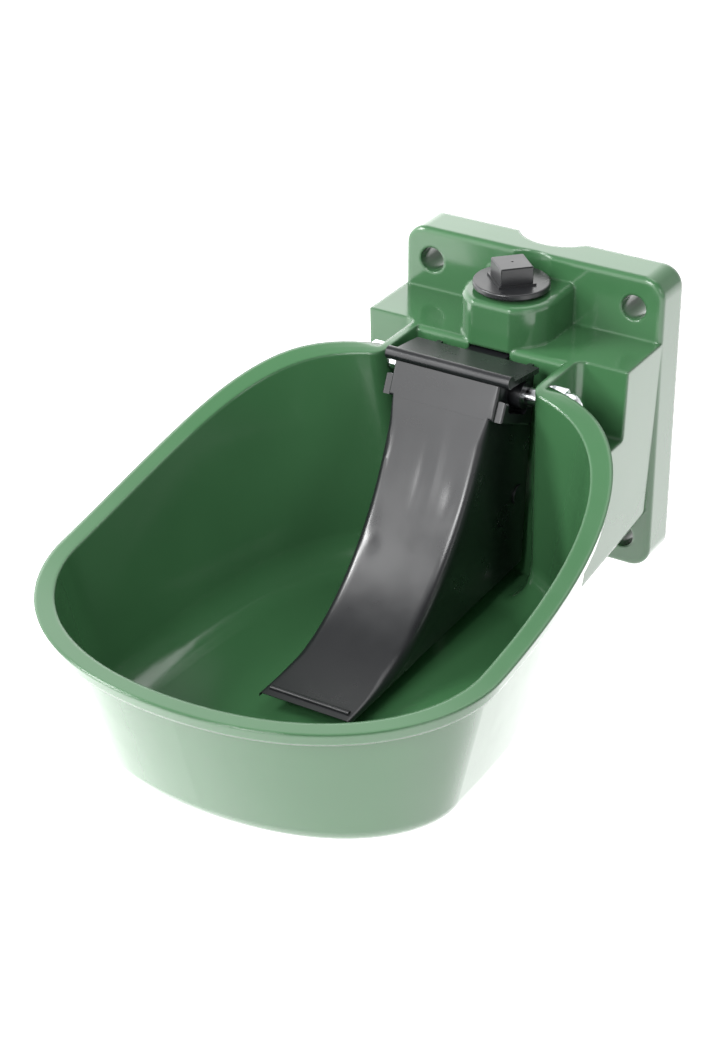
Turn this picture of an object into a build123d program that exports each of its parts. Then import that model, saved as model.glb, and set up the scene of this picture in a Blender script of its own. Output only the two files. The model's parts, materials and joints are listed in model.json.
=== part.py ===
from build123d import *
import math
import os

# Livestock drinking bowl with a pressing tongue. Millimetres; +Z up, X across the bowl,
# -Y towards the animal. Origin: middle of the four wall holes, on the back of the wall plate.

# wall plate
PLATE_W = 135.0
PLATE_H = 150.4
PLATE_T = 20.4
PLATE_R = 10.0
HOLE_DX = 106.0
HOLE_DZ = 119.0
HOLE_D = 12.5
TUBE_R = 21.5            # saddle in the back for a 42 mm tube
SADDLE_DEPTH = 9.0

# housing between plate and bowl
SHELF_Z = 44.2
WING_Y = -53.8           # front of the two side wings
WALL_Y = -60.4           # wall behind the tongue
SIDE_HW = 67.5
SIDE_HW_LOW = 65.0
UNDER_REAR = 87.2        # underside of the housing below the shelf, at the plate
UNDER_FRONT = 98.0       # and where it runs into the bowl
POCKET_DEPTH = 34.5
MOULD_WALL = 4.3

# neck in which the tongue hangs
NECK_HW = 38.4
NECK_HW_LOW = 31.0
NECK_WALL = 4.2
NECK_CORNER = 8.0

# tub: half width and front at shelf height, taper per mm of depth
TUB_HW = 108.9
TUB_REAR = -88.1
TUB_FRONT = -332.8
NOSE_REACH = 87.0        # from the front back to the widest point
TUB_WIDEST = TUB_FRONT + NOSE_REACH
SIDE_TAPER = 0.216
FRONT_TAPER = 0.322
REAR_TAPER = 0.167
NOSE_PULL = 0.733        # how full the outline's curves are, as parts of the half width
TAIL_PULL = 0.776
FLANK_PULL = 0.35        # and of the lengths ahead of and behind the widest point
HIP_PULL = 0.71
TUB_BOTTOM = -75.2
WALL = 4.4
FLOOR = 3.5
OUTER_ROUND = 12.0
INNER_ROUND = 18.0

# rim: level at the neck, falling in an S to the low front
RIM_BAND = 8.7
RIM_LIP = 6.0
RIM_START = -80.0
RIM_OVERRUN = 19.2       # the rim's curve is drawn on past the front
RIM_END = TUB_FRONT - RIM_OVERRUN
RIM_DROP = 49.0

# water way
BOSS_Y = -40.0
BOSS_R = 22.6
BOSS_H = 20.2
PORT_R = 9.5             # tapping size of a G1/2 port
CHANNEL_R = 8.5
INSERT_R = 12.5
INSERT_L = 15.0
LOWER_SPOUT = 12.0       # lower port below the housing's underside

# tongue
PIVOT_Y = -82.4
PIVOT_Z = 35.7
BOLT_R = 4.0
WASHER_R = 7.7
TONGUE_HW = 25.0
TONGUE_T = 2.6
HOOD_HW = 31.5
EAR_DROP = -16.5         # lower end of the ears, along the face from the hood
EAR_HW = 27.0
TIP_Y = -222.0
TIP_Z = -62.6
KEY_HW = 10.2            # nose behind the hood that rests in the wall's recess

# valve
VALVE_Z = -9.0
VALVE_R = 12.0
STEM_R = 2.0
SEAT_Y = -47.5
VALVE_END = -27.0

# port plug
FLANGE_R = 18.0
FLANGE_T = 3.0
HEAD_SIDE = 15.8
HEAD_TOP = 33.6          # above the shelf

RUN = 0.06               # running clearance


def box(x0, x1, y0, y1, z0, z1):
    b = Box(abs(x1 - x0), abs(y1 - y0), abs(z1 - z0))
    return Pos((x0 + x1) / 2, (y0 + y1) / 2, (z0 + z1) / 2) * b


def rod_x(r, x0, x1, y, z):
    return Pos((x0 + x1) / 2, y, z) * Rot(0, 90, 0) * Cylinder(r, abs(x1 - x0))


def rod_y(r, y0, y1, x, z):
    return Pos(x, (y0 + y1) / 2, z) * Rot(90, 0, 0) * Cylinder(r, abs(y1 - y0))


def rod_z(r, z0, z1, x, y):
    return Pos(x, y, (z0 + z1) / 2) * Cylinder(r, abs(z1 - z0))


def ring_y(r_out, r_in, y0, y1, x, z):
    return rod_y(r_out, y0, y1, x, z) - rod_y(r_in, y0 - 1, y1 + 1, x, z)


def side_face(points):
    """Face in the YZ plane from (y, z) corners."""
    return make_face(Polyline(*[(0, y, z) for y, z in points], close=True))


def across(face, half_width):
    return extrude(face, half_width, dir=(1, 0, 0), both=True)


# ---- tub ----------------------------------------------------------------------------

def tub_section(z, grow, inset=0.0):
    depth = SHELF_Z - z
    hw = TUB_HW - SIDE_TAPER * depth + grow - inset
    front = TUB_FRONT + FRONT_TAPER * depth - grow + inset
    rear = TUB_REAR + REAR_TAPER * depth + grow - inset
    nose = (0, front, z), (NOSE_PULL * hw, front, z)
    flank = [(hw, TUB_WIDEST + k * reach, z) for k, reach in
             ((-FLANK_PULL, TUB_WIDEST - front), (0, 0), (HIP_PULL, rear - TUB_WIDEST))]
    tail = (TAIL_PULL * hw, rear, z), (0, rear, z)
    half = [Bezier(*nose, *flank[:2]), Bezier(*flank[1:], *tail)]
    return make_face(half + [mirror(edge, Plane.YZ) for edge in half])


def tub_solid(grow, bottom, rounding, top=SHELF_Z + 8):
    tub = loft([tub_section(top, grow), tub_section(bottom, grow)], ruled=True)
    return fillet(tub.faces().sort_by(Axis.Z)[0].edges(), rounding)


def rim_line(drop=0.0):
    z0 = SHELF_Z - drop
    p = [(0, RIM_START, z0), (0, RIM_START - 0.22 * (RIM_START - RIM_END) * 0.55, z0 - 0.17 * RIM_DROP),
         (0, -162.0, z0 - 0.545 * RIM_DROP), (0, -236.0, z0 - 0.885 * RIM_DROP), (0, RIM_END, z0 - RIM_DROP)]
    return Spline(*p, tangents=[(0, -1, 0), (0, -1, -0.01)])


def above_rim():
    curve = rim_line()
    a, b = curve @ 0, curve @ 1
    frame = Polyline(b, (0, b.Y, SHELF_Z + 40), (0, a.Y, SHELF_Z + 40), a)
    return across(make_face([curve, frame]), TUB_HW + 60)


def rim_slab():
    upper, lower = rim_line(-2.0), rim_line(RIM_LIP)
    ends = [Line(upper @ 0, lower @ 0), Line(upper @ 1, lower @ 1)]
    return across(make_face([upper, lower] + ends), TUB_HW + 60)


# ---- one-piece moulding ---------------------------------------------------------------

def wall_plate():
    outline = Rectangle(PLATE_W, PLATE_H)
    outline = fillet(outline.vertices(), PLATE_R)
    plate = extrude(Plane.XZ * outline, PLATE_T)
    front = plate.faces().sort_by(Axis.Y)[0]
    plate = fillet(front.edges(), 2.5)
    depth = TUBE_R - SADDLE_DEPTH
    return plate - rod_z(TUBE_R, -PLATE_H, PLATE_H, 0, depth)


def housing():
    low_rear, low_front = SHELF_Z - UNDER_REAR, SHELF_Z - UNDER_FRONT
    cross = make_face(Polyline((-SIDE_HW, 0, SHELF_Z), (SIDE_HW, 0, SHELF_Z), (SIDE_HW_LOW, 0, low_front),
                               (-SIDE_HW_LOW, 0, low_front), close=True))
    block = extrude(cross, 100.0, dir=(0, -1, 0))
    block -= box(-90, 90, 1, -PLATE_T + 2, -200, 200)
    under = side_face([(0, low_rear), (-PLATE_T, low_rear), (-100.0, low_front), (-100.0, -200), (0, -200)])
    block -= across(under, 90)
    return block


def pocket(side, tub):
    b = box(NECK_HW + NECK_WALL, SIDE_HW + 20, WING_Y, -130.0, SHELF_Z - POCKET_DEPTH, SHELF_Z + 20)
    inner = b.edges().filter_by(Axis.Z).sort_by(Axis.X)[:2].sort_by(Axis.Y)[-1]
    b = fillet(inner, 5.0)
    floor_edge = b.edges().filter_by(Axis.X).sort_by(Axis.Y)[-2:].sort_by(Axis.Z)[0]
    b = fillet(floor_edge, 2.0)
    if side < 0:
        b = mirror(b, Plane.YZ)
    return b - tub


def rear_chambers():
    """Hollows cored from behind, either side of the water column."""
    solid = None
    for side in (-1, 1):
        wide = box(side * (TUBE_R + 2), side * (SIDE_HW_LOW - MOULD_WALL), 1, WING_Y + MOULD_WALL,
                   SHELF_Z - UNDER_REAR + 5, SHELF_Z - MOULD_WALL)
        deep = box(side * (NECK_HW + NECK_WALL + MOULD_WALL), side * (SIDE_HW_LOW - MOULD_WALL), -40, -73,
                   SHELF_Z - UNDER_REAR + 3, SHELF_Z - POCKET_DEPTH - MOULD_WALL)
        both = wide + deep
        solid = both if solid is None else solid + both
    return solid


def neck_profile(grow, floor, rounding, y0, y1):
    """Trough between the wall and the tub, drafted like its cheeks."""
    cross = Polyline((-NECK_HW - grow, 0, SHELF_Z + 30), (NECK_HW + grow, 0, SHELF_Z + 30),
                     (NECK_HW + grow, 0, SHELF_Z), (NECK_HW_LOW + grow, 0, floor),
                     (-NECK_HW_LOW - grow, 0, floor), (-NECK_HW - grow, 0, SHELF_Z), close=True)
    trough = Pos(0, y0, 0) * extrude(make_face(cross), y0 - y1, dir=(0, -1, 0))
    bottom = trough.edges().filter_by(Axis.Y).sort_by(Axis.Z)[:2]
    return fillet(bottom, rounding)


def boss():
    top = SHELF_Z + BOSS_H
    outline = Circle(BOSS_R) + Pos(0, -BOSS_Y / 2 - 5) * Rectangle(2 * BOSS_R, -BOSS_Y - 10)
    d = extrude(Pos(0, BOSS_Y, SHELF_Z - 30) * outline, BOSS_H + 30)
    d -= box(-50, 50, WALL_Y, -100, -100, 200)
    d -= box(-50, 50, 2, -PLATE_T + 3, -100, 200)
    rim = d.edges().filter_by(Plane.XY).group_by(Axis.Z)[-1]
    rim = [e for e in rim if e.center().Y < -PLATE_T - 1]
    return fillet(rim, 2.5)


def lower_spout():
    low = SHELF_Z - UNDER_REAR - LOWER_SPOUT
    return rod_z(INSERT_R + 5, low, SHELF_Z - UNDER_REAR + 8, 0, BOSS_Y)


def rim_lip():
    """Outward lip round the mouth."""
    return (tub_solid(RIM_BAND, TUB_BOTTOM, OUTER_ROUND) & rim_slab()) - above_rim()


def bowl_body():
    outer = tub_solid(WALL, TUB_BOTTOM, OUTER_ROUND)
    lip = rim_lip()
    block = housing()
    for side in (-1, 1):
        block -= pocket(side, outer)
    neck = neck_profile(NECK_WALL - 0.5, TUB_BOTTOM + 2.5, 8.0, WALL_Y + WALL, -120.0)
    body = (block + neck + outer) - above_rim()
    body += lip
    for side in (-1, 1):
        x0 = side * (NECK_HW + NECK_WALL)
        body -= rod_x(8.6, x0, x0 + side * 30, PIVOT_Y, PIVOT_Z)
    body -= box(-120, 120, 10, RIM_START - 1, SHELF_Z, SHELF_Z + 60)
    body -= tub_solid(0.0, TUB_BOTTOM + FLOOR, INNER_ROUND)
    body -= neck_profile(0.0, TUB_BOTTOM + FLOOR + 1.5, 6.0, WALL_Y, -180.0)
    corners = body.edges().filter_by(GeomType.BSPLINE).filter_by_position(Axis.Y, -100, -75)
    corners = [e for e in corners if abs(e.center().X) < NECK_HW and e.length > 60]
    body = fillet(corners, NECK_CORNER)
    body = fillet(body.edges().filter_by(Axis.X).filter_by_position(Axis.Y, WALL_Y - 1, WALL_Y + 1)
                  .sort_by(Axis.Z)[-1], 3.0)
    body += wall_plate() + boss() + lower_spout()
    body -= rear_chambers()
    body -= rod_z(TUBE_R, -PLATE_H, PLATE_H, 0, TUBE_R - SADDLE_DEPTH)
    # pipe-nut clearance in the plate's front, round the boss
    body -= rod_z(-BOSS_Y - PLATE_T + 2.3, SHELF_Z + BOSS_H, 200, 0, BOSS_Y)
    for x in (-HOLE_DX / 2, HOLE_DX / 2):
        for z in (-HOLE_DZ / 2, HOLE_DZ / 2):
            body -= rod_y(HOLE_D / 2, 5, -PLATE_T - 5, x, z)
    # vertical water way with its two insert seats, and the valve chamber across it
    top, low = SHELF_Z + BOSS_H, SHELF_Z - UNDER_REAR - LOWER_SPOUT
    body -= rod_z(CHANNEL_R, low - 1, top + 1, 0, BOSS_Y)
    body -= rod_z(INSERT_R, top - INSERT_L, top + 1, 0, BOSS_Y)
    body -= rod_z(INSERT_R, low - 1, low + INSERT_L, 0, BOSS_Y)
    body -= rod_y(VALVE_R, WALL_Y - 5, VALVE_END, 0, VALVE_Z)
    # recess for the tongue's key
    body -= box(-KEY_HW - 0.5, KEY_HW + 0.5, WALL_Y - 5, WALL_Y + 6, SHELF_Z - 12.3, SHELF_Z - 2.0)
    # pivot bolt holes
    body -= rod_x(BOLT_R + 0.05, -NECK_HW - 8, NECK_HW + 8, PIVOT_Y, PIVOT_Z)
    return body


# ---- tongue ---------------------------------------------------------------------------

def tongue_line(dy=0.0, dz=0.0):
    """Front of the tongue in side view: steep below the hood, running out flat at the tip."""
    top = (0, PIVOT_Y - 17.0 + dy, PIVOT_Z + 10.8 + dz)
    knee = (0, -119.4 + dy, 1.6 + dz)
    belly = (0, -143.1 + dy, -30.8 + dz)
    run = (0, -177.9 + dy, -55.0 + dz)
    tip = (0, TIP_Y + dy, TIP_Z + dz)
    return Spline(top, knee, belly, run, tip, tangents=[(0, -0.42, -0.91), (0, -1, -0.02)])


def tongue_side():
    """Side view of the tongue, solid."""
    curve = tongue_line()
    a, b = curve @ 0, curve @ 1
    rear = WALL_Y - 5.0
    return make_face([curve, Polyline(b, (0, b.Y, b.Z - 2.4), (0, rear, TUB_BOTTOM + 15),
                                      (0, rear + 2.0, PIVOT_Z + 6), a)])


def tongue_hollow(half_width):
    curve = tongue_line(0.92 * TONGUE_T, -0.92 * TONGUE_T)
    c, d = curve @ 0, curve @ 1
    inner = make_face([curve, Polyline(d, (0, d.Y, d.Z - 30), (0, 0, d.Z - 30), (0, 0, c.Z), c)])
    return across(inner, half_width - TONGUE_T)


def tongue_shell():
    shell = across(tongue_side(), TONGUE_HW)
    shell = fillet([e for e in shell.edges() if e.geom_type == GeomType.BSPLINE], 1.6)
    return shell - tongue_hollow(TONGUE_HW)


def ears():
    """Wider cheeks round the pivot, flush with the tongue's face and square to it below."""
    lean = math.degrees(math.atan2(0.42, 0.91))
    base = Pos(0, PIVOT_Y - 17.0, PIVOT_Z + 10.8) * Rot(-lean, 0, 0)
    cheek = across(tongue_side(), EAR_HW) & (base * box(-60, 60, -9, 33, EAR_DROP, 9))
    front = [e for e in cheek.edges() if e.geom_type == GeomType.BSPLINE]
    cheek = fillet(front, 1.6)
    flange = base * box(-HOOD_HW + 0.5, HOOD_HW - 0.5, 1.8, 31, EAR_DROP, EAR_DROP + 9.5)
    flange = fillet(flange.edges().group_by(Axis.X)[0] + flange.edges().group_by(Axis.X)[-1], 1.5)
    window = extrude(Plane.YZ * Pos(14.5, -6.0) * RectangleRounded(19.0, 11.0, 2.5), 60, both=True)
    return cheek + flange - tongue_hollow(EAR_HW) - base * window


def hood():
    """Lid over the pivot with a rolled front edge."""
    y0, z0 = PIVOT_Y - 15.4, PIVOT_Z + 12.6
    y1, z1 = PIVOT_Y + 11.0, PIVOT_Z + 9.2
    lid = across(side_face([(y0, z0), (y1, z1), (y1, z1 - 2.6), (y0, z0 - 2.6)]), HOOD_HW)
    roll = rod_x(3.0, -HOOD_HW, HOOD_HW, y0, z0)
    key = box(-KEY_HW, KEY_HW, y1 - 4, WALL_Y + 5.4, SHELF_Z - 12.0, SHELF_Z - 3.4)
    ramp = across(side_face([(y1 - 12, z1 - 1.0), (y1 + 6, SHELF_Z - 3.4), (y1 + 6, SHELF_Z - 12), (y1 - 12, SHELF_Z - 12)]),
                  KEY_HW)
    return lid + roll + key + ramp


def tongue():
    body = tongue_shell() + ears() + hood()
    body += rod_x(6.5, -HOOD_HW + 0.5, HOOD_HW - 0.5, PIVOT_Y, PIVOT_Z)
    # web that meets the valve stem, and the bead across the tip
    stem_front = WALL_Y - 12.0
    body += box(-TONGUE_HW + 1, TONGUE_HW - 1, stem_front - 3.0, stem_front, VALVE_Z - 8, VALVE_Z + 8)
    body += rod_x(1.2, -TONGUE_HW + 2, TONGUE_HW - 2, TIP_Y + 5.0, TIP_Z + 0.1)
    body -= rod_x(BOLT_R + RUN, -60, 60, PIVOT_Y, PIVOT_Z)
    return body


# ---- pivot ----------------------------------------------------------------------------

def hex_x(flats, x0, x1):
    h = extrude(Plane.YZ * RegularPolygon(flats / 2, 6, major_radius=False), x1 - x0)
    return Pos(x0, PIVOT_Y, PIVOT_Z) * h


def pivot_bolt():
    face_x = NECK_HW + NECK_WALL + 1.6
    bolt = rod_x(BOLT_R, -face_x - 1, face_x + 9, PIVOT_Y, PIVOT_Z)
    bolt += hex_x(13.0, -face_x - 5.3, -face_x)
    return bolt


def pivot_nut():
    face_x = NECK_HW + NECK_WALL + 1.6
    nut = hex_x(13.0, face_x, face_x + 6.5)
    dome = Pos(face_x + 8.6, PIVOT_Y, PIVOT_Z) * Sphere(6.2)
    nut += dome & box(face_x, face_x + 30, PIVOT_Y - 10, PIVOT_Y + 10, PIVOT_Z - 10, PIVOT_Z + 10)
    return nut - rod_x(BOLT_R + 0.02, face_x - 1, face_x + 10, PIVOT_Y, PIVOT_Z)


def pivot_washers():
    out = []
    inner = NECK_HW + NECK_WALL
    for x0, x1 in ((-inner - 1.6, -inner), (inner, inner + 1.6)):
        disc = rod_x(WASHER_R, x0, x1, PIVOT_Y, PIVOT_Z)
        out.append(disc - rod_x(BOLT_R + 0.2, x0 - 1, x1 + 1, PIVOT_Y, PIVOT_Z))
    return out


# ---- ports ----------------------------------------------------------------------------

def port_insert(z0, z1):
    body = rod_z(INSERT_R, z0, z1, 0, BOSS_Y)
    body -= rod_z(PORT_R, z0 - 1, z1 + 1, 0, BOSS_Y)
    return body


def plug_seal():
    z = SHELF_Z + BOSS_H
    return rod_z(FLANGE_R - 3.5, z, z + 1.5, 0, BOSS_Y) - rod_z(PORT_R, z - 1, z + 3, 0, BOSS_Y)


def port_plug():
    z = SHELF_Z + BOSS_H + 1.5
    flange = fillet(rod_z(FLANGE_R, z, z + FLANGE_T, 0, BOSS_Y).edges(), 0.8)
    top = SHELF_Z + HEAD_TOP
    turned = Pos(0, BOSS_Y, z) * Rot(0, 0, 46)
    foot = turned * Pos(0, 0, FLANGE_T) * extrude(Rectangle(HEAD_SIDE + 2.2, HEAD_SIDE + 2.2), 0.9)
    head = turned * extrude(RectangleRounded(HEAD_SIDE, HEAD_SIDE, 0.6), top - z)
    head = chamfer(head.faces().sort_by(Axis.Z)[-1].edges(), 0.5)
    shank = rod_z(PORT_R - 0.02, z - 13, z + 1, 0, BOSS_Y) - rod_z(PORT_R - 2.5, z - 14, z - 2, 0, BOSS_Y)
    dimple = Pos(0, BOSS_Y, top) * Cylinder(0.6, 1.0)
    return flange + foot + head + shank - dimple


# ---- valve ----------------------------------------------------------------------------

def valve_body():
    body = rod_y(VALVE_R - 0.02, WALL_Y - 1.6, SEAT_Y - 2, 0, VALVE_Z)
    hexagon = Plane.XZ * RegularPolygon(13.5, 6, major_radius=False)
    body += Pos(0, WALL_Y - 1.5, VALVE_Z) * extrude(hexagon, 4.0)
    body -= rod_y(7.0, WALL_Y - 0.5, SEAT_Y, 0, VALVE_Z)
    body -= rod_y(STEM_R + RUN, WALL_Y - 10, WALL_Y, 0, VALVE_Z)
    for i in range(4):
        a = math.radians(45 + 90 * i)
        body -= rod_y(1.6, WALL_Y - 10, WALL_Y, 4.6 * math.cos(a), VALVE_Z + 4.6 * math.sin(a))
    return body


def valve_gasket():
    return ring_y(13.4, VALVE_R + 0.1, WALL_Y - 1.5, WALL_Y, 0, VALVE_Z)


def seat_ring():
    ring = ring_y(9.0, 5.0, SEAT_Y - 2, SEAT_Y - 0.8, 0, VALVE_Z)
    return ring + ring_y(6.6, 5.0, SEAT_Y - 5, SEAT_Y, 0, VALVE_Z)


def valve_stem():
    tip = WALL_Y - 11.6
    stem = rod_y(STEM_R, tip, SEAT_Y + 9, 0, VALVE_Z)
    return stem + rod_y(3.4, SEAT_Y - 1.4, SEAT_Y, 0, VALVE_Z)


def valve_disc():
    return ring_y(7.6, STEM_R + 0.02, SEAT_Y, SEAT_Y + 2.5, 0, VALVE_Z)


def disc_cup():
    cup = rod_y(8.6, SEAT_Y + 0.8, SEAT_Y + 3.7, 0, VALVE_Z)
    cup -= rod_y(7.6, SEAT_Y, SEAT_Y + 2.5, 0, VALVE_Z)
    return cup - rod_y(STEM_R + 0.02, SEAT_Y - 5, SEAT_Y + 20, 0, VALVE_Z)


def stem_nut():
    hexagon = Plane.XZ * RegularPolygon(3.5, 6, major_radius=False)
    nut = Pos(0, SEAT_Y + 6.9, VALVE_Z) * extrude(hexagon, 3.2)
    return nut - rod_y(STEM_R + 0.01, SEAT_Y - 5, SEAT_Y + 20, 0, VALVE_Z)


def spring_seat():
    seat = rod_y(9.5, VALVE_END - 1.5, VALVE_END, 0, VALVE_Z)
    return seat + rod_y(3.6, VALVE_END - 4.5, VALVE_END, 0, VALVE_Z)


def valve_spring():
    y0, y1 = SEAT_Y + 3.7, VALVE_END - 1.5
    wire, coil = 0.5, 5.6
    length = y1 - y0 - 2 * wire
    path = Helix(pitch=length / 5, height=length, radius=coil)
    start = path @ 0
    profile = Plane(origin=start, z_dir=path % 0) * Circle(wire)
    spring = sweep(profile, path=path, is_frenet=True)
    return Pos(0, y1 - wire, VALVE_Z) * Rot(90, 0, 0) * spring


def main():
    os.makedirs("parts", exist_ok=True)
    top, low = SHELF_Z + BOSS_H, SHELF_Z - UNDER_REAR - LOWER_SPOUT
    nodes = {
        "bowl_body": bowl_body(), "tongue": tongue(),
        "pivot_bolt": pivot_bolt(), "pivot_nut": pivot_nut(), "pivot_washers": pivot_washers(),
        "port_plug": port_plug(), "plug_seal": plug_seal(),
        "inlet_insert_top": port_insert(top - INSERT_L, top),
        "inlet_insert_bottom": port_insert(low, low + INSERT_L),
        "valve_body": valve_body(), "valve_gasket": valve_gasket(), "seat_ring": seat_ring(),
        "valve_stem": valve_stem(), "valve_disc": valve_disc(),
        "disc_cup": disc_cup(), "stem_nut": stem_nut(),
        "valve_spring": valve_spring(), "spring_seat": spring_seat(),
    }
    for name, shape in nodes.items():
        if isinstance(shape, list):
            shape = Compound(children=shape)
        shape.label = name
        export_step(shape, f"parts/{name}.step")


if __name__ == "__main__":
    main()
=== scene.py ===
import math
import bmesh
import bpy
import numpy as np
from mathutils import Euler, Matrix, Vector
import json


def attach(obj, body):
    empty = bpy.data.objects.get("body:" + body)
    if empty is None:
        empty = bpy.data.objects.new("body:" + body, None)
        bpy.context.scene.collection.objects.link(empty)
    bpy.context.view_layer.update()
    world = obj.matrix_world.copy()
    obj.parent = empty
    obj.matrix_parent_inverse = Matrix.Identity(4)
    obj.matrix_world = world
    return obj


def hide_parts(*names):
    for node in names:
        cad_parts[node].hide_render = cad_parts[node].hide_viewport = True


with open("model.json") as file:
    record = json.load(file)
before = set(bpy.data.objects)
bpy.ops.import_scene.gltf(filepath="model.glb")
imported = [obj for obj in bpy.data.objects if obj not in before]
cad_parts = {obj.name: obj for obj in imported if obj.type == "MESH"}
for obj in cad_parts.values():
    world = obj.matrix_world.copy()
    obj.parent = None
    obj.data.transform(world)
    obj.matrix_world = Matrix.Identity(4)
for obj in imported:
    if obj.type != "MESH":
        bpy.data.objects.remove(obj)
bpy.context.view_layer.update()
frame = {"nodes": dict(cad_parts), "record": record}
scene = bpy.context.scene
nodes = frame["nodes"]


# ---- materials ------------------------------------------------------------------------

def grey(v):
    return (v, v, v, 1)


def material(name):
    m = bpy.data.materials.new(name)
    m.use_nodes = True
    tree = m.node_tree
    return m, tree, tree.nodes["Principled BSDF"]


def noise(tree, scale, detail, rough=0.5):
    n = tree.nodes.new("ShaderNodeTexNoise")
    n.inputs["Scale"].default_value = scale
    n.inputs["Detail"].default_value = detail
    n.inputs["Roughness"].default_value = rough
    coord = tree.nodes.new("ShaderNodeTexCoord")
    tree.links.new(coord.outputs["Object"], n.inputs["Vector"])
    return n.outputs["Fac"]


def set_ramp(node, low_at, low, high_at, high):
    first, last = node.color_ramp.elements
    first.position, last.position = low_at, high_at
    first.color, last.color = low, high


def mottled(tree, source, socket, low, high):
    """The socket varies between two colours with the source."""
    r = tree.nodes.new("ShaderNodeValToRGB")
    set_ramp(r, 0.35, low, 0.65, high)
    tree.links.new(source, r.inputs["Fac"])
    tree.links.new(r.outputs["Color"], socket)


def relief(tree, shader, height, edge):
    """Slight swell of a moulded face, its edges rounded by this radius if one is given."""
    b = tree.nodes.new("ShaderNodeBump")
    b.inputs["Strength"].default_value = 0.12
    b.inputs["Distance"].default_value = height
    tree.links.new(noise(tree, 22.0, 2.0, 0.4), b.inputs["Height"])
    tree.links.new(b.outputs["Normal"], shader.inputs["Normal"])
    if edge:
        round_off = tree.nodes.new("ShaderNodeBevel")
        round_off.samples = 6
        round_off.inputs["Radius"].default_value = edge
        tree.links.new(round_off.outputs["Normal"], b.inputs["Normal"])


def plastic(name, dark, light, rough, swell=0.0, spec=0.5, edge=0.0):
    m, tree, shader = material(name)
    mottled(tree, noise(tree, 9.0, 2.0), shader.inputs["Base Color"], dark, light)
    mottled(tree, noise(tree, 55.0, 4.0), shader.inputs["Roughness"],
            grey(rough - 0.03), grey(rough + 0.04))
    if swell:
        relief(tree, shader, swell, edge)
    shader.inputs["Specular IOR Level"].default_value = spec
    return m


def metal(name, dark, light, rough):
    m, tree, shader = material(name)
    shader.inputs["Metallic"].default_value = 1.0
    mottled(tree, noise(tree, 60.0, 4.0), shader.inputs["Base Color"], dark, light)
    mottled(tree, noise(tree, 300.0, 3.0), shader.inputs["Roughness"],
            grey(rough - 0.06), grey(rough + 0.08))
    return m


BLACK = plastic("black_plastic", (0.006, 0.0065, 0.0075, 1), (0.010, 0.0105, 0.012, 1),
                0.30, spec=0.45)
LOOKS = {
    "green_plastic": plastic("green_plastic", (0.034, 0.104, 0.042, 1), (0.041, 0.120, 0.050, 1),
                             0.14, swell=0.0004, edge=0.0022),
    "black_plastic": BLACK,
    "zinc_steel": metal("zinc_steel", (0.62, 0.64, 0.66, 1), (0.80, 0.82, 0.84, 1), 0.18),
    "stainless": metal("stainless", grey(0.50), grey(0.62), 0.28),
    "brass": metal("brass", (0.62, 0.43, 0.16, 1), (0.76, 0.56, 0.24, 1), 0.26),
    "rubber": plastic("rubber", grey(0.012), grey(0.022), 0.6, swell=0.0002, spec=0.3),
}
for part in frame["record"]["subparts"]:
    solid = nodes[part["node"]].data
    solid.materials.clear()
    solid.materials.append(LOOKS[part["material_slot"]])
    for poly in solid.polygons:
        poly.material_index = 0


# ---- tongue ---------------------------------------------------------------------------
# The blade below the ears: a face that sweeps down into the bowl between two side walls,
# one thin moulding with rounded front edges. Side view in (y, z), metres.

FACE_STATIONS = ((-0.0994, 0.0465), (-0.1194, 0.0016), (-0.1431, -0.0308),
                 (-0.1779, -0.0550), (-0.2220, -0.0626))
FACE_START = (-0.42, -0.91)
FACE_END = (-1.0, -0.02)
BLADE_START = 0.0164         # along the face, where the ears end
BLADE_TOP_Z, BLADE_TIP_Z = 0.0315, -0.0640
BLADE_HW_TOP, BLADE_HW_TIP = 0.0250, 0.0229
EDGE_TOP, EDGE_ROUND = 0.0016, 0.0042
EDGE_GROWS = 0.08            # share of the blade over which the edges grow rounder
EDGE_LIMIT = 0.7             # of the side wall's height, near the tip
REAR_LINE = ((-0.0645, 0.0118), (-0.0656, -0.0602), (-0.2220, -0.0648))
SHELL = 0.0024
TIP_THINNING = 0.030         # length over which the walls thin out to the tip
TIP_THICKNESS = 0.12         # of the shell's, at the tip
WELD = 1e-6

# soft shrink marks: x, share along the blade, width, share of height, depth behind the face
SHRINK_MARKS = (
    (-0.0020, 0.20, 0.0016, 0.085, 0.00040), (0.0045, 0.17, 0.0018, 0.10, -0.00028),
    (0.0150, 0.24, 0.0035, 0.06, 0.00045), (-0.0165, 0.42, 0.0030, 0.03, -0.0004),
    (-0.0200, 0.14, 0.0030, 0.07, 0.0005),
)


def steps(points):
    """The points as an array, and the distances between them."""
    p = np.array(points)
    return p, np.linalg.norm(np.diff(p, axis=0), axis=1)


def face_slopes(p, gap):
    """Directions at the stations of the clamped cubic spline through them."""
    n = len(p)
    system, right = np.zeros((n, n)), np.zeros((n, 2))
    system[0, 0] = system[-1, -1] = 1.0
    right[0], right[-1] = FACE_START, FACE_END
    for i in range(1, n - 1):
        before, after = gap[i - 1], gap[i]
        system[i, i - 1:i + 2] = after, 2 * (before + after), before
        right[i] = 3 * (after / before * (p[i] - p[i - 1]) + before / after * (p[i + 1] - p[i]))
    return np.linalg.solve(system, right)


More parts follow.
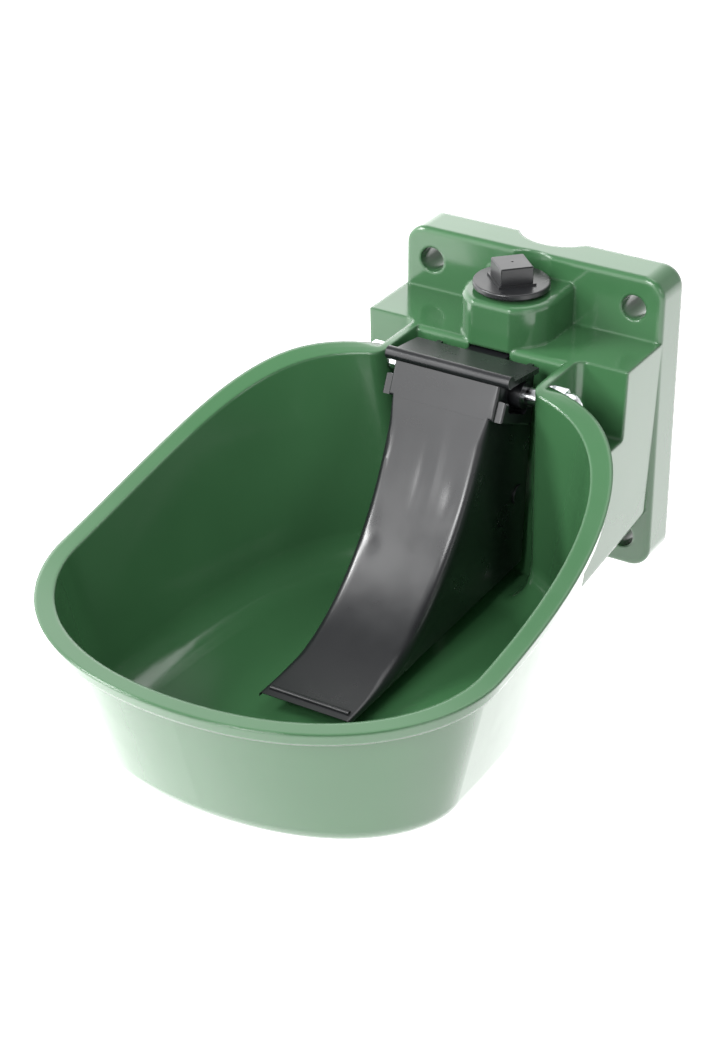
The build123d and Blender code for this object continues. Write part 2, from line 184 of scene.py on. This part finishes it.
def face_line(count):
    """Points down the blade's face, and the direction at each."""
    p, gap = steps(FACE_STATIONS)
    slope = face_slopes(p, gap)
    knots = np.append(0.0, np.cumsum(gap))
    points, ways = [], []
    for u in np.linspace(BLADE_START, knots[-1], count):
        i = min(int(np.searchsorted(knots, u, side="right")) - 1, len(gap) - 1)
        h = gap[i]
        t = (u - knots[i]) / h
        points.append((2 * t**3 - 3 * t**2 + 1) * p[i] + (t**3 - 2 * t**2 + t) * h * slope[i]
                      + (3 * t**2 - 2 * t**3) * p[i + 1] + (t**3 - t**2) * h * slope[i + 1])
        way = ((6 * t**2 - 6 * t) * p[i] + (3 * t**2 - 4 * t + 1) * h * slope[i]
               + (6 * t - 6 * t**2) * p[i + 1] + (3 * t**2 - 2 * t) * h * slope[i + 1])
        ways.append(way / np.linalg.norm(way))
    return points, ways


def along_rear(share):
    """Point on the rear and bottom edge of the side walls."""
    p, gap = steps(REAR_LINE)
    reach = share * gap.sum()
    i = 0 if reach < gap[0] else 1
    t = (reach - i * gap[0]) / gap[i]
    return p[i] + min(t, 1.0) * (p[i + 1] - p[i])


def blade_hw(z):
    share = min(max((z - BLADE_TIP_Z) / (BLADE_TOP_Z - BLADE_TIP_Z), 0.0), 1.0)
    return BLADE_HW_TIP + share * (BLADE_HW_TOP - BLADE_HW_TIP)


def sink(x, share):
    return sum(depth * math.exp(-((x - x0) / wide) ** 2 - ((share - s0) / tall) ** 2)
               for x0, s0, wide, tall, depth in SHRINK_MARKS)


def blade_row(point, way, share, across, arc, wall):
    """One section across the blade: rear edge, side wall, rounded edge, face, and back again."""
    back = np.array((-way[1], way[0]))
    end = along_rear(share)
    radius = min(EDGE_TOP + (EDGE_ROUND - EDGE_TOP) * min(share / EDGE_GROWS, 1.0),
                 EDGE_LIMIT * (point[1] - REAR_LINE[-1][1]))
    hw = blade_hw(point[1])
    flat = hw - radius
    half = []
    for j in range(1, arc + 1):
        a = math.radians(90.0 * j / arc)
        half.append((flat + radius * math.sin(a), point + radius * (1 - math.cos(a)) * back))
    start = point + radius * back
    for j in range(1, wall + 1):
        q = start + j / wall * (end - start)
        half.append((hw if j == 1 else blade_hw(q[1]), q))
    face = [flat * (2.0 * j / across - 1.0) for j in range(across + 1)]
    return ([(-x, q) for x, q in reversed(half)]
            + [(x, point + sink(x, share) * back) for x in face] + half)


def blade_mesh(count=96, across=22, arc=7, wall=10):
    verts = []
    for k, (point, way) in enumerate(zip(*face_line(count))):
        row = blade_row(point, way, k / (count - 1), across, arc, wall)
        verts += [(x, q[0], q[1]) for x, q in row]
    cols = across + 1 + 2 * (arc + wall)
    corners = [i * cols + j for i in range(count - 1) for j in range(cols - 1)]
    return verts, [(c, c + cols, c + cols + 1, c + 1) for c in corners]


def black_piece(name, mesh, crisp=True):
    """A smooth-shaded piece of the tongue, with its sharp edges kept sharp."""
    mesh.polygons.foreach_set("use_smooth", [True] * len(mesh.polygons))
    mesh.materials.append(BLACK)
    o = bpy.data.objects.new(name, mesh)
    scene.collection.objects.link(o)
    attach(o, "tongue_arm")
    if crisp:
        keep_edges(o)
    return o


def keep_edges(obj):
    obj.modifiers.new("edges", "EDGE_SPLIT").split_angle = math.radians(35.0)


def new_mesh(name, verts, faces):
    mesh = bpy.data.meshes.new(name)
    mesh.from_pydata(verts, [], faces)
    mesh.update()
    return mesh


def head_mesh():
    """Ears, lid and key: the solid tongue above the blade's start."""
    bm = bmesh.new()
    bm.from_mesh(nodes["tongue"].data)
    bmesh.ops.remove_doubles(bm, verts=bm.verts, dist=WELD)
    up = -Vector((0, *FACE_START)).normalized()
    bmesh.ops.bisect_plane(bm, geom=bm.verts[:] + bm.edges[:] + bm.faces[:],
                           plane_co=Vector((0, *FACE_STATIONS[0])) - BLADE_START * up,
                           plane_no=up, clear_inner=True)
    bmesh.ops.holes_fill(bm, edges=[e for e in bm.edges if e.is_boundary], sides=0)
    mesh = bpy.data.meshes.new("tongue_head")
    bm.to_mesh(mesh)
    bm.free()
    mesh.materials.clear()
    return mesh


def rod_mesh(name, radius, x0, x1, y, z, sides=20):
    turn = Vector((x1 - x0, 0, 0)).to_track_quat("Z", "Y")
    ring = [turn @ Vector((radius * math.cos(a), radius * math.sin(a), 0))
            for a in (math.tau * i / sides for i in range(sides))]
    verts = [tuple(Vector((x, y, z)) + r) for x in (x0, x1) for r in ring]
    faces = [(i, (i + 1) % sides, sides + (i + 1) % sides, sides + i) for i in range(sides)]
    faces += [tuple(reversed(range(sides))), tuple(range(sides, 2 * sides))]
    return new_mesh(name, verts, faces)


blade = black_piece("tongue_blade", new_mesh("tongue_blade", *blade_mesh()), crisp=False)
shell = blade.modifiers.new("thickness", "SOLIDIFY")
shell.thickness = SHELL
shell.offset = -1.0
walls = blade.vertex_groups.new(name="wall")
for vert in blade.data.vertices:
    from_tip = (vert.co.y - FACE_STATIONS[-1][0]) / TIP_THINNING
    walls.add([vert.index], min(1.0, max(TIP_THICKNESS, from_tip)), "REPLACE")
shell.vertex_group = "wall"
keep_edges(blade)
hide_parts("tongue")

head = black_piece("tongue_head", head_mesh())
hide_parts("tongue")

black_piece("tongue_side_mark",
            rod_mesh("tongue_side_mark", 0.0048, 0.0236, 0.0247, -0.0735, -0.021, 28))
black_piece("tongue_tip_bead",
            rod_mesh("tongue_tip_bead", 0.0013, -0.0200, 0.0200, -0.2168, -0.0624))

# the web that meets the valve stem
WEB_HW = 0.0222
web = [(x, y, z) for x in (-WEB_HW, WEB_HW) for y in (-0.0754, -0.0724) for z in (-0.017, -0.001)]
web_faces = [(0, 1, 3, 2), (4, 6, 7, 5), (0, 4, 5, 1), (2, 3, 7, 6), (0, 2, 6, 4), (1, 5, 7, 3)]
black_piece("tongue_web", new_mesh("tongue_web", web, web_faces), crisp=False)


# ---- studio ---------------------------------------------------------------------------

FLOOR_Z = -0.25
FLOOR_SIZE = 8.0
FLOOR_GLOW_SEEN = 0.6        # added light that the camera sees
FLOOR_GLOW_MIRRORED = 1.9    # and that the glossy plastic mirrors
SKY_DIFFUSE = 0.50


def math_node(tree, operation, *values):
    n = tree.nodes.new("ShaderNodeMath")
    n.operation = operation
    for socket, value in zip(n.inputs, values):
        if isinstance(value, (int, float)):
            socket.default_value = value
        else:
            tree.links.new(value, socket)
    return n.outputs[0]


def floor_material():
    """Pale matt floor that takes the shadow, and glows a little in view and in mirrors."""
    m, tree, shader = material("studio_floor")
    shader.inputs["Base Color"].default_value = grey(0.85)
    shader.inputs["Roughness"].default_value = 0.9
    path = tree.nodes.new("ShaderNodeLightPath")
    seen = math_node(tree, "MULTIPLY", path.outputs["Is Camera Ray"], FLOOR_GLOW_SEEN)
    glow = tree.nodes.new("ShaderNodeEmission")
    glow.inputs["Color"].default_value = grey(1.0)
    strength = math_node(tree, "MULTIPLY_ADD", path.outputs["Is Glossy Ray"],
                         FLOOR_GLOW_MIRRORED, seen)
    tree.links.new(strength, glow.inputs["Strength"])
    both = tree.nodes.new("ShaderNodeAddShader")
    tree.links.new(shader.outputs[0], both.inputs[0])
    tree.links.new(glow.outputs[0], both.inputs[1])
    tree.links.new(both.outputs[0], tree.nodes["Material Output"].inputs["Surface"])
    return m


bpy.ops.mesh.primitive_plane_add(size=FLOOR_SIZE, location=(0, 0, FLOOR_Z))
floor = bpy.context.object
floor.name = "studio_floor"
floor.data.materials.append(floor_material())

world = bpy.data.worlds.new("studio_world")
scene.world = world
world.use_nodes = True
wt = world.node_tree
bg = wt.nodes["Background"]
bg.inputs["Color"].default_value = grey(1.0)


def choose(chooser, otherwise, chosen):
    kept = math_node(wt, "MULTIPLY", math_node(wt, "SUBTRACT", 1.0, chooser), otherwise)
    return math_node(wt, "ADD", math_node(wt, "MULTIPLY", chooser, chosen), kept)


# what glossy plastic mirrors: bright near the horizon, dim overhead, brighter at the left
world_path = wt.nodes.new("ShaderNodeLightPath")
direction = wt.nodes.new("ShaderNodeTexCoord")
split = wt.nodes.new("ShaderNodeSeparateXYZ")
wt.links.new(direction.outputs["Generated"], split.inputs[0])
sky = wt.nodes.new("ShaderNodeValToRGB")
set_ramp(sky, 0.35, grey(1.0), 0.8, grey(0.18))
wt.links.new(split.outputs["Z"], sky.inputs["Fac"])
side = wt.nodes.new("ShaderNodeMapRange")
wt.links.new(split.outputs["X"], side.inputs["Value"])
SIDE_MAP = {"From Min": -0.45, "From Max": 0.35, "To Min": 3.7, "To Max": 1.1}
for socket_name, value in SIDE_MAP.items():
    side.inputs[socket_name].default_value = value
mirrored_sky = math_node(wt, "MULTIPLY", sky.outputs["Color"], side.outputs["Result"])
level = choose(world_path.outputs["Is Glossy Ray"], SKY_DIFFUSE, mirrored_sky)
level = choose(world_path.outputs["Is Camera Ray"], level, 1.0)
wt.links.new(level, bg.inputs["Strength"])

# name, place, aim, width, power
LAMPS = (
    ("key_left", (-1.1, -0.75, 0.95), (0.03, -0.15, 0), 0.5, 30),
    ("fill_right", (1.1, -0.5, 0.5), (0, -0.15, 0), 0.5, 3),
    ("top_back", (0.1, 0.5, 1.2), (0, -0.15, 0), 0.9, 7),
    ("front_high", (-0.1, -1.7, 1.0), (0, -0.12, 0.02), 0.7, 36),
)
for lamp_name, place, aim, width, power in LAMPS:
    lamp = bpy.data.lights.new(lamp_name, "AREA")
    lamp.shape = "RECTANGLE"
    lamp.size = lamp.size_y = width
    lamp.energy = power
    holder = bpy.data.objects.new(lamp_name, lamp)
    scene.collection.objects.link(holder)
    holder.location = place
    holder.rotation_euler = (Vector(aim) - Vector(place)).to_track_quat("-Z", "Y").to_euler()


# ---- camera ---------------------------------------------------------------------------

CAMERA_AT = (0.5062, -1.0136, 0.55615)
LOOK_DOWN, TURNED = 29.39, 31.11     # degrees
SENSOR = 24.0
FOCAL_RATIO = 2600.0 / 1051.0        # focal length over the picture's height

cam_data = bpy.data.cameras.new("photo_view")
cam_data.sensor_fit = "VERTICAL"
cam_data.sensor_height = SENSOR
cam_data.lens = FOCAL_RATIO * SENSOR
cam = bpy.data.objects.new("photo_view", cam_data)
scene.collection.objects.link(cam)
cam.location = CAMERA_AT
cam.rotation_euler = Euler((math.radians(90 - LOOK_DOWN), 0.0, math.radians(TURNED)), "XYZ")
scene.camera = cam
scene.view_settings.view_transform = "Standard"
